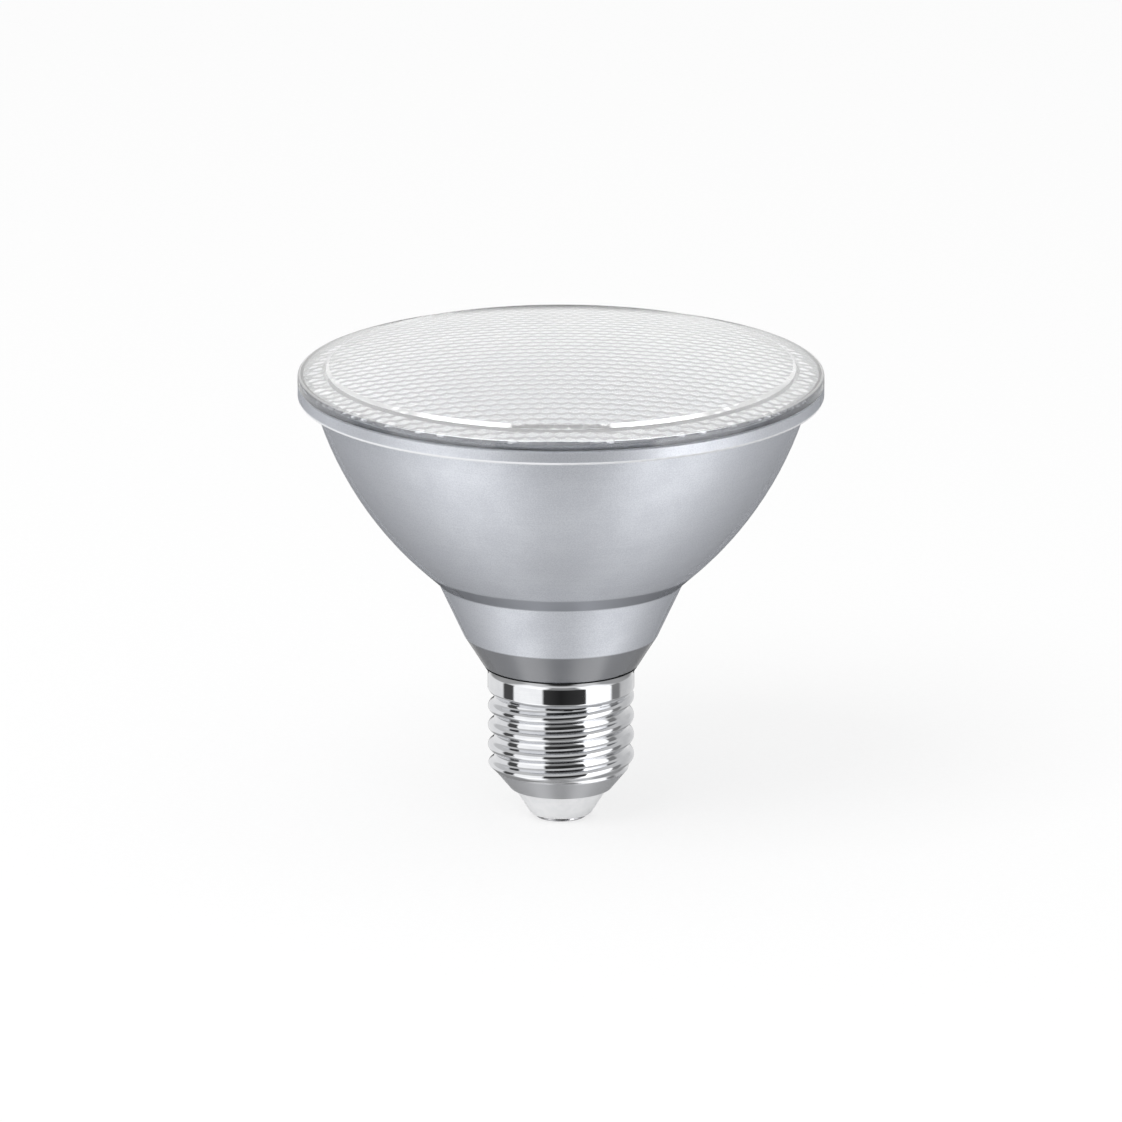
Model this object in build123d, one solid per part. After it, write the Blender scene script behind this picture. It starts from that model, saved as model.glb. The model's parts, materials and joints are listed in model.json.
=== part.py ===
from build123d import *
import math
import os

os.makedirs("parts", exist_ok=True)

# PAR30 reflector lamp with an E27 screw cap: millimetres, contact at the bottom, lens on top

# Centre contact and cap insulator
contact_radius = 4.6
contact_height = 0.7
contact_rounding = 0.3
rivet_radius = 1.8
rivet_bore_radius = 0.8
insulator_foot_radius = 5.5
insulator_top_radius = 8.5
insulator_height = 4.9
insulator_rounding = 0.5
insulator_flange_height = 2.1

# Screw shell
shell_sheet = 0.35
shell_mouth_radius = 8.7
shell_lip_radius = 9.25
shell_cone_height = 3.4
thread_major_diameter = 26.4
thread_minor_diameter = 24.1
thread_pitch = 25.4 / 7
thread_rounding = 1.025
thread_undercut = 0.1
thread_length = 15.2
thread_start_angle = 100.0
thread_lead_in = 0.9
thread_run_out = 1.3
skirt_diameter = 26.5
skirt_height = 2.9
flare_radius = 13.9
flare_height = 1.3

# Housing, outside
neck_foot_radius = 14.0
neck_foot_rounding = 0.9
neck_height = 5.75
neck_top_radius = 17.6
lower_cone_height = 10.1
waist_radius = 22.3
waist_rounding = 0.9
bowl_foot_radius = 25.4
bowl_foot_rise = 2.8
bowl_foot_rounding = 2.0
bowl_height = 34.0
bowl_curve_radius = 66.0
collar_diameter = 95.0
collar_height = 2.75
collar_overhang = 2.8
collar_rounding = 0.5
collar_groove = 0.4

# Housing, inside
housing_wall = 2.0
spigot_wall = 1.9
spigot_bottom_height = 11.2
neck_floor = 1.6
spreader_ledge_rise = 2.0
spreader_ledge_radius = 20.0
spreader_pocket_depth = 1.6
collar_wall = 2.35

# Front lens
lens_wall = 1.6
lens_edge_height = 1.65
lens_edge_rounding = 0.6
lens_dome_rise = 5.65
lens_rib_wall = 1.2
lens_land_width = 0.3
pillow_pitch = 2.55
pillow_depth = 0.3

# Reflector cup
reflector_throat_radius = 12.5
reflector_throat_height = 2.2
reflector_wall = 1.2
reflector_rim_thickness = 0.9
reflector_lip = 0.2
reflector_step = 1.0

# LED board and what it carries
spreader_radius = 21.6
spreader_thickness = 2.0
led_board_radius = 19.0
led_board_thickness = 1.6
led_count = 6
led_circle_radius = 6.5
led_side = 3.0
led_base_height = 0.6
led_dome_radius = 1.3
screw_count = 3
screw_circle_radius = 16.5
screw_head_radius = 2.1
screw_head_height = 1.4
screw_head_rounding = 0.5
screw_shank_radius = 1.25
screw_depth = 1.7
connector_length = 6.0
connector_width = 3.0
connector_height = 1.5
wire_hole_radius = 1.9
wire_hole_offset = 16.2

# Driver board and what it carries
driver_board_thickness = 1.6
driver_board_front = -2.2
driver_board_bottom_gap = 0.8
driver_board_top_gap = 2.0
rail_thickness = 1.2
rail_grip = 1.4
rail_top_gap = 3.0
transformer_width = 12.0
transformer_height = 11.0
transformer_depth = 5.0
transformer_leg = 2.2
winding_overhang = 2.2
input_capacitor_radius = 4.0
input_capacitor_length = 12.0
output_capacitor_radius = 3.15
output_capacitor_length = 9.0
capacitor_groove = 0.4
capacitor_rounding = 0.6
film_capacitor_width = 3.4
film_capacitor_depth = 7.0
film_capacitor_height = 8.0
film_capacitor_rounding = 0.5
inductor_radius = 3.4
inductor_height = 6.0
inductor_flange = 1.0
inductor_waist_radius = 2.6
rectifier_width = 4.8
rectifier_depth = 2.5
rectifier_height = 4.0
chip_width = 3.9
chip_depth = 1.6
chip_height = 4.9
chip_edge = 0.3
fuse_radius = 1.5
fuse_length = 8.0
fuse_rounding = 0.5
varistor_radius = 3.0
varistor_thickness = 2.6
varistor_rounding = 0.6
part_spacing = 1.0

# Leads
lead_radius = 0.6
led_lead_spacing = 1.6
bend_share = 0.45

# Clearances
cap_clearance = 0.1
rim_clearance = 0.15
fit_clearance = 0.15
solder_gap = 0.08
reflector_clearance = 0.25

# Heights of the joints between pieces, from the contact up
insulator_bottom = contact_height
shell_bottom = insulator_bottom + insulator_height
thread_bottom = shell_bottom + shell_cone_height
skirt_bottom = thread_bottom + thread_length
flare_bottom = skirt_bottom + skirt_height
shell_top = flare_bottom + flare_height
neck_bottom = shell_top + rim_clearance
neck_top = neck_bottom + neck_height
waist = neck_top + lower_cone_height
bowl_foot = waist + bowl_foot_rise
bowl_top = waist + bowl_height
collar_top = bowl_top + collar_height
lens_edge_top = collar_top + lens_edge_height
lens_top = lens_edge_top + lens_dome_rise
driver_shoulder = neck_bottom + neck_floor
spreader_bottom = waist + spreader_ledge_rise
spreader_top = spreader_bottom + spreader_thickness
led_board_top = spreader_top + led_board_thickness
reflector_throat = led_board_top + reflector_throat_height
reflector_rim_top = bowl_top + reflector_rim_thickness

# Radii that pieces share
crest_radius = thread_major_diameter / 2
root_radius = thread_minor_diameter / 2
cone_top_radius = root_radius - thread_undercut
skirt_radius = skirt_diameter / 2
collar_radius = collar_diameter / 2
shell_bore_radius = root_radius - shell_sheet
spigot_radius = shell_bore_radius - cap_clearance
spigot_bore_radius = spigot_radius - spigot_wall
collar_bore_radius = collar_radius - collar_wall
bowl_top_radius = collar_radius - collar_overhang
driver_board_back = driver_board_front - driver_board_thickness


def turned(outline):
    """A full turn about the lamp's axis of an outline drawn as (radius, height)."""
    return revolve(Plane.XZ * outline, Axis.Z)


def outline_of(*points):
    """A flat outline through (radius, height) points."""
    return make_face(Polyline(*points, close=True))


def rounded(outline, *corners):
    """The outline with some corners rounded, each given as (radius, height, rounding)."""
    for radius, height, rounding in corners:
        corner = outline.vertices().sort_by_distance((radius, height))[0]
        outline = fillet(corner, rounding)
    return outline


def cylinder(radius, bottom, top, x=0.0, y=0.0):
    """An upright cylinder between two heights."""
    low = (Align.CENTER, Align.CENTER, Align.MIN)
    return Pos(x, y, bottom) * Cylinder(radius, top - bottom, align=low)


def block(x_range, y_range, z_range):
    """A block between three pairs of limits."""
    sides = [high - low for low, high in (x_range, y_range, z_range)]
    corner = [low for low, high in (x_range, y_range, z_range)]
    return Pos(*corner) * Box(*sides, align=(Align.MIN, Align.MIN, Align.MIN))


def around(centre, length):
    """The limits of a length about its centre."""
    return (centre - length / 2, centre + length / 2)


def lead(points):
    """A round wire along straight runs, each corner an arc as large as its runs allow."""
    points = [Vector(*point) for point in points]
    radii = []
    for before, here, after in zip(points, points[1:], points[2:]):
        turn = math.radians((here - before).get_angle(after - here))
        shorter = min((here - before).length, (after - here).length)
        radii.append(bend_share * shorter / math.tan(turn / 2))
    print("lead bend radii", [round(radius, 2) for radius in radii])
    path = FilletPolyline(*points, radius=radii)
    section = Plane(path @ 0, z_dir=path % 0) * Circle(lead_radius)
    return sweep(section, path=path)


# Screw cap


def thread_radius(turn):
    """Radius of the rounded thread at a share of a turn from its crest, on two tangent arcs."""
    depth = crest_radius - root_radius
    flank = math.acos(1 - depth / (2 * thread_rounding))
    half_width = thread_rounding * math.sin(flank)
    along = 4 * half_width * min(turn, 1 - turn)
    if along <= half_width:
        return crest_radius - thread_rounding + math.sqrt(thread_rounding**2 - along**2)
    along = 2 * half_width - along
    return root_radius + thread_rounding - math.sqrt(thread_rounding**2 - along**2)


def threaded_core():
    """A right-hand rounded thread, twisted up from its own cross-section."""
    points_per_turn = 36
    points = []
    for step in range(points_per_turn):
        share = step / points_per_turn
        angle = math.radians(thread_start_angle) + share * math.tau
        radius = thread_radius(share)
        points.append(Vector(radius * math.cos(angle), radius * math.sin(angle), thread_bottom))
    section = Wire([Edge.make_spline(points, periodic=True)])
    turns = thread_length / thread_pitch
    foot, rise = (0, 0, thread_bottom), (0, 0, thread_length)
    return Solid.extrude_linear_with_rotation(section, foot, rise, turns * 360)


def shell_cone_radius(height):
    """Outside radius of the shell's cone."""
    share = (height - shell_bottom) / shell_cone_height
    return shell_lip_radius + share * (cone_top_radius - shell_lip_radius)


def shell_cone_inset():
    """How far the cone's inside lies from its outside, along a radius."""
    slope = (cone_top_radius - shell_lip_radius) / shell_cone_height
    return shell_sheet * math.hypot(1, slope)


def screw_shell():
    """Thin cap with a lip, a cone, a rounded thread, a plain skirt and a flared rim."""
    inset = shell_cone_inset()
    lead_in = outline_of(
        (0, thread_bottom),
        (cone_top_radius, thread_bottom),
        (flare_radius, thread_bottom + (flare_radius - cone_top_radius) * thread_lead_in),
        (flare_radius, skirt_bottom),
        (0, skirt_bottom),
    )
    outside = outline_of(
        (0, shell_bottom),
        (shell_lip_radius, shell_bottom),
        (cone_top_radius, thread_bottom),
        (cone_top_radius, skirt_bottom - thread_run_out),
        (skirt_radius, skirt_bottom),
        (skirt_radius, flare_bottom),
        (flare_radius, shell_top),
        (0, shell_top),
    )
    inside = outline_of(
        (0, shell_bottom),
        (shell_mouth_radius, shell_bottom),
        (shell_mouth_radius, shell_bottom + shell_sheet),
        (shell_cone_radius(shell_bottom + shell_sheet) - inset, shell_bottom + shell_sheet),
        (cone_top_radius - inset, thread_bottom),
        (shell_bore_radius, thread_bottom),
        (shell_bore_radius, skirt_bottom),
        (skirt_radius - shell_sheet, skirt_bottom + skirt_radius - root_radius),
        (skirt_radius - shell_sheet, flare_bottom),
        (flare_radius - shell_sheet, shell_top),
        (0, shell_top),
    )
    return (threaded_core() & turned(lead_in)) + turned(outside) - turned(inside)


def cap_insulator():
    """White cone under the shell's lip, with a flange that seats inside the shell's cone."""
    inset = shell_cone_inset() + cap_clearance
    seat = shell_bottom + shell_sheet + cap_clearance
    top = seat + insulator_flange_height
    neck_radius = shell_mouth_radius - cap_clearance
    hole_radius = rivet_radius + cap_clearance
    outline = outline_of(
        (hole_radius, insulator_bottom),
        (insulator_foot_radius, insulator_bottom),
        (insulator_top_radius, shell_bottom - cap_clearance),
        (neck_radius, shell_bottom - cap_clearance),
        (neck_radius, seat),
        (shell_cone_radius(seat) - inset, seat),
        (shell_cone_radius(top) - inset, top),
        (hole_radius, top),
    )
    return turned(rounded(outline, (insulator_foot_radius, insulator_bottom, insulator_rounding)))


def rivet_top():
    """Height of the contact's rivet, flush with the insulator's flange."""
    return shell_bottom + shell_sheet + cap_clearance + insulator_flange_height


def centre_contact():
    """Contact button with a hollow rivet through the insulator."""
    outline = outline_of(
        (0, 0),
        (contact_radius, 0),
        (contact_radius, contact_height),
        (rivet_radius, contact_height),
        (rivet_radius, rivet_top()),
        (rivet_bore_radius, rivet_top()),
        (rivet_bore_radius, contact_height),
        (0, contact_height),
    )
    return turned(rounded(outline, (contact_radius, 0, contact_rounding)))


# Housing


def bowl_centre():
    """Centre of the bowl's curve, which runs from its foot to the collar."""
    run, rise = bowl_top_radius - bowl_foot_radius, bowl_top - bowl_foot
    chord = math.hypot(run, rise)
    reach = math.sqrt(bowl_curve_radius**2 - (chord / 2) ** 2) / chord
    middle_radius = (bowl_foot_radius + bowl_top_radius) / 2
    middle_height = (bowl_foot + bowl_top) / 2
    return middle_radius - rise * reach, middle_height + run * reach


def bowl_radius(height, inset=0.0):
    """Radius of the bowl's curve at a height, or of a curve inset from it."""
    centre_radius, centre_height = bowl_centre()
    reach = bowl_curve_radius - inset
    return centre_radius + math.sqrt(reach**2 - (height - centre_height) ** 2)


def bowl_arc(bottom, top, inset=0.0):
    """The bowl's curve between two heights, or a curve inset from it."""
    middle = (bottom + top) / 2
    ends = [(bowl_radius(height, inset), height) for height in (bottom, middle, top)]
    return ThreePointArc(*ends)


def cone_radius(height):
    """Outside radius of the neck and the lower cone at a height."""
    if height < neck_top:
        share = (height - neck_bottom) / neck_height
        return neck_foot_radius + share * (neck_top_radius - neck_foot_radius)
    share = (height - neck_top) / lower_cone_height
    return neck_top_radius + share * (waist_radius - neck_top_radius)


def cavity_outline(wall):
    """Half section of the space for the driver, at a distance from the outside."""
    return outline_of(
        (0, driver_shoulder),
        (cone_radius(driver_shoulder) - wall, driver_shoulder),
        (neck_top_radius - wall, neck_top),
        (spreader_ledge_radius, waist),
        (spreader_ledge_radius, spreader_bottom),
        (0, spreader_bottom),
    )


def driver_rails():
    """Two pairs of rails that grip the driver board's edges, cut to the cavity's wall."""
    inner = driver_board_half_width(cavity_at_shoulder()) - rail_grip
    rails = []
    front = driver_board_front + fit_clearance
    back = driver_board_back - fit_clearance - rail_thickness
    for side in (-1, 1):
        across = sorted((side * inner, side * waist_radius))
        for low in (front, back):
            depth = (low, low + rail_thickness)
            rails.append(block(across, depth, (driver_shoulder, spreader_bottom - rail_top_gap)))
    return Part() + rails


def housing():
    """One moulding: collar, bowl, waist, lower cone, neck and the spigot inside the cap."""
    pocket_radius = spreader_radius + fit_clearance
    pocket_top = spreader_bottom + spreader_pocket_depth
    outside = Polyline(
        (spigot_bore_radius, spigot_bottom_height),
        (spigot_radius, spigot_bottom_height),
        (spigot_radius, neck_bottom),
        (neck_foot_radius, neck_bottom),
        (neck_top_radius, neck_top),
        (waist_radius, waist),
        (bowl_foot_radius, bowl_foot),
    )
    collar = Polyline(
        (bowl_top_radius, bowl_top),
        (collar_radius, bowl_top),
        (collar_radius, collar_top - collar_groove),
        (collar_radius - collar_groove, collar_top),
        (collar_bore_radius, collar_top),
        (collar_bore_radius, bowl_top),
        (bowl_radius(bowl_top, housing_wall), bowl_top),
    )
    inside = Polyline(
        (bowl_radius(pocket_top, housing_wall), pocket_top),
        (pocket_radius, pocket_top),
        (pocket_radius, spreader_bottom),
        (spreader_ledge_radius, spreader_bottom),
        (spreader_ledge_radius, waist),
        (neck_top_radius - housing_wall, neck_top),
        (cone_radius(driver_shoulder) - housing_wall, driver_shoulder),
        (spigot_bore_radius, driver_shoulder),
        (spigot_bore_radius, spigot_bottom_height),
    )
    walls = [bowl_arc(bowl_foot, bowl_top), bowl_arc(pocket_top, bowl_top, housing_wall)]
    outline = rounded(
        make_face([*outside.edges(), *collar.edges(), *inside.edges(), *walls]),
        (neck_foot_radius, neck_bottom, neck_foot_rounding),
        (waist_radius, waist, waist_rounding),
        (bowl_foot_radius, bowl_foot, bowl_foot_rounding),
        (bowl_top_radius, bowl_top, collar_rounding),
        (collar_radius, bowl_top, collar_rounding),
    )
    rails = driver_rails() & turned(cavity_outline(housing_wall / 2))
    return turned(outline) + rails


# Optics


def lens_height(radius):
    """Height of the lens's smooth outer dome, an arc from its edge to the axis."""
    reach = (collar_radius**2 + lens_dome_rise**2) / (2 * lens_dome_rise)
    return lens_top - reach + math.sqrt(reach**2 - radius**2)


def lens_arc(inner, outer, depth=0.0):
    """The lens's dome between two radii, or a like curve at a depth below it."""
    radii = (inner, (inner + outer) / 2, outer)
    return ThreePointArc(*[(radius, lens_height(radius) - depth) for radius in radii])


def reflector_mouth():
    """Inside radius of the reflector's mouth, from the bowl's wall and the gap beside it."""
    bowl_inside = bowl_radius(bowl_top, housing_wall)
    return bowl_inside - reflector_clearance - reflector_wall / math.sqrt(2)


def lens_rib():
    """Inner and outer radius of the lens's rib, which stands on the reflector's rim."""
    inner = reflector_mouth() + reflector_lip
    return inner, inner + lens_rib_wall


def pillow_centres():
    """Middles of the pillows that fit inside the rib, close packed, with their rows along X."""
    row = pillow_pitch * math.sqrt(3) / 2
    reach = lens_rib()[0] - lens_land_width - pillow_pitch / math.sqrt(3)
    rows, columns = int(reach / row), int(reach / pillow_pitch) + 1
    grid = [
        ((column + row_number % 2 / 2) * pillow_pitch, row_number * row)
        for row_number in range(-rows, rows + 1)
        for column in range(-columns, columns + 1)
    ]
    return [(x, y) for x, y in grid if math.hypot(x, y) <= reach]


def pillow_corners(centre):
    """The six corners of a pillow on plan."""
    reach = pillow_pitch / math.sqrt(3)
    angles = [math.radians(30 + 60 * step) for step in range(6)]
    x, y = centre
    corners = [(x + reach * math.cos(angle), y + reach * math.sin(angle)) for angle in angles]
    return [(round(x, 5), round(y, 5)) for x, y in corners]


def front_lens():
    """Clear domed lens: a faceted pillow pattern inside, a rib round it, and an edge on the collar."""
    rib_inner, rib_outer = lens_rib()
    land = lens_height(rib_inner) - lens_wall
    rib_foot = reflector_rim_top + cap_clearance
    edge = Polyline(
        (collar_radius, lens_edge_top),
        (collar_radius, collar_top),
        (collar_bore_radius, collar_top),
        (collar_bore_radius, lens_height(collar_bore_radius) - lens_wall),
    )
    rib = Polyline(
        (rib_outer, lens_height(rib_outer) - lens_wall),
        (rib_outer, rib_foot),
        (rib_inner, rib_foot),
        (rib_inner, land),
        (0, land),
        (0, lens_top),
    )
    dome = lens_arc(0, collar_radius)
    under_edge = lens_arc(rib_outer, collar_bore_radius, lens_wall)
    outline = make_face([dome, *edge.edges(), under_edge, *rib.edges()])
    blank = turned(rounded(outline, (collar_radius, lens_edge_top, lens_edge_rounding)))
    return pillowed(blank, land)


def pillowed(blank, land):
    """The lens with its flat underside, at the land's height, made into rows of faceted pillows."""
    cells = [(centre, pillow_corners(centre)) for centre in pillow_centres()]
    sides = {side for _, corners in cells for side in zip(corners, corners[1:] + corners[:1])}
    rim = {start: end for start, end in sides if (end, start) not in sides}

    def place(corner):
        """A corner in the valley between pillows, or on the land at the pattern's edge."""
        height = land if corner in rim else lens_height(math.hypot(*corner)) - lens_wall
        return Vector(*corner, height)

    facets = []
    for (x, y), corners in cells:
        top = Vector(x, y, lens_height(math.hypot(x, y)) - lens_wall - pillow_depth)
        for start, end in zip(corners, corners[1:] + corners[:1]):
            facets.append(Face(Wire.make_polygon([top, place(start), place(end)])))
    loop = [min(rim)]
    while rim[loop[-1]] != loop[0]:
        loop.append(rim[loop[-1]])
    underside = blank.faces().filter_by(Plane.XY).sort_by(Axis.Z)[-1]
    pattern_edge = Wire.make_polygon([place(corner) for corner in loop])
    land_face = Face(underside.outer_wire(), [pattern_edge])
    others = [face for face in blank.faces() if not face.is_same(underside)]
    return Solid(Shell([*others, land_face, *facets]))


def reflector():
    """Parabolic cup from the LED board to the collar, with a stepped rim that the lens's rib sits in."""
    mouth, throat = reflector_mouth(), reflector_throat_radius
    rim_radius = collar_bore_radius - fit_clearance
    step_radius = lens_rib()[1] + fit_clearance
    rise = reflector_rim_top - reflector_throat
    steepness = (mouth**2 - throat**2) / rise
    control = (throat + mouth) / 2, reflector_throat + throat * (mouth - throat) / steepness
    shift = reflector_wall / math.sqrt(2)
    inner = Bezier((throat, reflector_throat), control, (mouth, reflector_rim_top))
    outer_mouth = mouth + shift, reflector_rim_top - shift
    outer = Bezier(
        (throat + shift, reflector_throat - shift),
        (control[0] + shift, control[1] - shift),
        outer_mouth,
    )
    foot = Polyline(
        (throat + shift, reflector_throat - shift),
        (throat + shift, led_board_top),
        (throat, led_board_top),
        (throat, reflector_throat),
    )
    rim = Polyline(
        (mouth, reflector_rim_top),
        (step_radius, reflector_rim_top),
        (step_radius, reflector_rim_top + reflector_step),
        (rim_radius, reflector_rim_top + reflector_step),
        (rim_radius, bowl_top),
        (outer_mouth[0], bowl_top),
        outer_mouth,
    )
    return turned(make_face([inner, outer, *foot.edges(), *rim.edges()]))


# LED board


def on_circle(count, radius, turn=0.0):
    """Places spaced evenly on a circle about the axis, from a first angle."""
    return [Rot(0, 0, turn + 360 * step / count) * Pos(radius, 0, 0) for step in range(count)]


def screw_places():
    """Where the board screws stand, clear of the wire hole."""
    return on_circle(screw_count, screw_circle_radius, 90)


def wire_hole(bottom, top):
    """Hole that the LED leads pass through."""
    return cylinder(wire_hole_radius, bottom, top, y=-wire_hole_offset)


def plate(radius, bottom, top, hole_radius):
    """Round plate with the screws' holes and the wire hole."""
    holes = [place * cylinder(hole_radius, bottom, top) for place in screw_places()]
    return cylinder(radius, bottom, top) - holes - wire_hole(bottom, top)


def led_packages():
    """LEDs in a ring about a middle one, each a square base with a clear dome."""
    base_top = led_board_top + led_base_height
    square = block(around(0, led_side), around(0, led_side), (led_board_top, base_top))
    low = (Align.CENTER, Align.CENTER, Align.MIN)
    dome = Pos(0, 0, base_top) * Sphere(led_dome_radius, arc_size1=0, align=low)
    places = [Pos(0, 0, 0), *on_circle(led_count, led_circle_radius)]
    return Compound([place * (square + dome) for place in places])


def board_screws():
    """Pan-head screws through the LED board into the spreader."""
    head_top = led_board_top + screw_head_height
    tip = spreader_top - screw_depth
    outline = outline_of(
        (0, tip),
        (screw_shank_radius, tip),
        (screw_shank_radius, led_board_top),
        (screw_head_radius, led_board_top),
        (screw_head_radius, head_top),
        (0, head_top),
    )
    screw = turned(rounded(outline, (screw_head_radius, head_top, screw_head_rounding)))
    return Compound([place * screw for place in screw_places()])


def led_connector():
    """Low two-way connector over the wire hole, with its wires from below."""
    body = block(
        around(0, connector_length),
        around(-wire_hole_offset, connector_width),
        (led_board_top, led_board_top + connector_height),
    )
    return chamfer(body.edges().group_by(Axis.Z)[-1], connector_height / 5)


# Driver


def cavity_at_shoulder():
    """Inside radius of the driver's space at the shoulder that the board stands on."""
    return cone_radius(driver_shoulder) - housing_wall


def driver_board_half_width(space_radius):
    """Half the board's width in a round space, allowing for the board's place in it."""
    off_centre = max(abs(driver_board_front), abs(driver_board_back))
    return math.sqrt(space_radius**2 - off_centre**2) - 3 * fit_clearance


def driver_board():
    """Upright board that stands on the neck's shoulder and reaches down into the spigot."""
    wide = driver_board_half_width(cavity_at_shoulder())
    narrow = driver_board_half_width(spigot_bore_radius)
    depth = (driver_board_back, driver_board_front)
    tail = (spigot_bottom_height + driver_board_bottom_gap, driver_shoulder)
    head = (driver_shoulder, spreader_bottom - driver_board_top_gap)
    return block((-narrow, narrow), depth, tail) + block((-wide, wide), depth, head)


def driver_middle():
    """Height of the middle of the board's wide part."""
    return (driver_shoulder + spreader_bottom - driver_board_top_gap) / 2


def transformer_axis():
    """How far in front of the axis the transformer's middle lies."""
    return driver_board_front + solder_gap + winding_overhang + transformer_depth / 2


def transformer_window():
    """Width and height of each of the core's two windows."""
    width = (transformer_width - 4 * transformer_leg) / 2
    return width, transformer_height - 2 * transformer_leg


def transformer_core():
    """Two-window ferrite core, with a middle leg twice as wide as its outer legs."""
    width, height = transformer_window()
    depth = around(transformer_axis(), transformer_depth)
    body = block(around(0, transformer_width), depth, around(driver_middle(), transformer_height))
    middle = transformer_leg + width / 2
    for side in (-middle, middle):
        body -= block(around(side, width), depth, around(driver_middle(), height))
    return body


def transformer_winding():
    """Coil and bobbin about the core's middle leg, through both windows."""
    width, height = transformer_window()
    coil = width - fit_clearance
    outer = around(0, 2 * (transformer_leg + coil))
    inner = around(0, 2 * (transformer_leg + fit_clearance))
    tall = around(driver_middle(), height - 2 * fit_clearance)
    deep = around(transformer_axis(), transformer_depth + 2 * winding_overhang)
    hole = around(transformer_axis(), transformer_depth + 2 * fit_clearance)
    body = block(outer, deep, tall)
    body = fillet(body.edges().filter_by(Axis.Z), coil / 2)
    return body - block(inner, hole, tall)


def can_capacitor(radius, length, x, y, bottom):
    """Electrolytic can with a rolled groove near its sealed end."""
    groove = bottom + 2 * capacitor_groove + capacitor_rounding
    outline = outline_of(
        (0, bottom),
        (radius, bottom),
        (radius, groove - capacitor_groove),
        (radius - capacitor_groove, groove),
        (radius, groove + capacitor_groove),
        (radius, bottom + length),
        (0, bottom + length),
    )
    corners = [(radius, height, capacitor_rounding) for height in (bottom, bottom + length)]
    return Pos(x, y, 0) * turned(rounded(outline, *corners))


def input_capacitor():
    """Can that lies against the board, inside the spigot."""
    y = driver_board_front + solder_gap + input_capacitor_radius
    bottom = driver_shoulder - part_spacing - input_capacitor_length
    return can_capacitor(input_capacitor_radius, input_capacitor_length, 0, y, bottom)


def output_capacitor():
    """Can on the back of the board's wide part."""
    x = lead_radius + led_lead_spacing / 2 + part_spacing / 2 + output_capacitor_radius
    y = driver_board_back - solder_gap - output_capacitor_radius
    bottom = driver_middle() - output_capacitor_length / 2
    return can_capacitor(output_capacitor_radius, output_capacitor_length, x, y, bottom)


def film_capacitor():
    """Box capacitor beside the transformer."""
    start = transformer_width / 2 + part_spacing
    front = driver_board_front + solder_gap
    body = block(
        (start, start + film_capacitor_width),
        (front, front + film_capacitor_depth),
        around(driver_middle(), film_capacitor_height),
    )
    return fillet(body.edges().filter_by(Axis.Y), film_capacitor_rounding)


def filter_inductor():
    """Drum choke that stands on the back of the board."""
    x = -(lead_radius + led_lead_spacing / 2 + part_spacing + inductor_radius)
    outline = outline_of(
        (0, 0),
        (inductor_radius, 0),
        (inductor_radius, inductor_flange),
        (inductor_waist_radius, inductor_flange),
        (inductor_waist_radius, inductor_height - inductor_flange),
        (inductor_radius, inductor_height - inductor_flange),
        (inductor_radius, inductor_height),
        (0, inductor_height),
    )
    place = Pos(x, driver_board_back - solder_gap, driver_middle()) * Rot(90, 0, 0)
    return place * turned(outline)


def flat_package(width, depth, height, middle):
    """Small moulded package flat on the back of the board, with a bevelled top."""
    front = driver_board_back - solder_gap
    body = block(around(0, width), (front - depth, front), around(middle, height))
    return chamfer(body.faces().sort_by(Axis.Y)[0].edges(), chip_edge)


def bridge_rectifier():
    """Rectifier in the spigot."""
    middle = driver_shoulder - part_spacing - input_capacitor_length / 2
    return flat_package(rectifier_width, rectifier_depth, rectifier_height, middle)


def controller_chip():
    """Controller between the inductor and the output capacitor, below the LED leads."""
    middle = driver_shoulder + part_spacing + chip_height / 2
    return flat_package(min(chip_width, 2 * led_lead_end()), chip_depth, chip_height, middle)


def fuse_resistor():
    """Axial resistor beside the input capacitor."""
    x = -(input_capacitor_radius + part_spacing + fuse_radius)
    y = driver_board_front + solder_gap + fuse_radius
    bottom = driver_shoulder - part_spacing - input_capacitor_length
    body = cylinder(fuse_radius, bottom, bottom + fuse_length, x, y)
    return fillet(body.edges().filter_by(GeomType.CIRCLE), fuse_rounding)


def varistor():
    """Disc on edge on the other side of the input capacitor."""
    start = input_capacitor_radius + part_spacing
    y = driver_board_front + solder_gap + varistor_radius
    middle = driver_shoulder - part_spacing - input_capacitor_length / 2
    disc = fillet(
        Cylinder(varistor_radius, varistor_thickness).edges().filter_by(GeomType.CIRCLE),
        varistor_rounding,
    )
    return Pos(start + varistor_thickness / 2, y, middle) * Rot(0, 90, 0) * disc


# Leads


def led_lead_end():
    """How far the two LED leads reach to each side of the middle."""
    return led_lead_spacing / 2 + lead_radius


def live_lead():
    """From the contact's rivet to the fuse resistor's end of the board."""
    x = -(input_capacitor_radius + part_spacing + fuse_radius)
    y = driver_board_front + solder_gap + lead_radius
    start, top = rivet_top(), driver_shoulder - part_spacing - input_capacitor_length
    rise = 3 * lead_radius
    return lead([(0, 0, start), (0, 0, start + rise), (x, y, start + 2.5 * rise), (x, y, top)])


def neutral_lead():
    """From the shell's wall, under the spigot, to the other side of the board."""
    x = input_capacitor_radius + part_spacing + lead_radius
    y = driver_board_front + solder_gap + lead_radius
    level = spigot_bottom_height - 2 * lead_radius
    wall = shell_bore_radius - lead_radius / 2
    top = driver_shoulder - part_spacing - input_capacitor_length / 2 - varistor_radius
    return lead([(wall, 0, level), (x, y, level + lead_radius), (x, y, top)])


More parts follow.
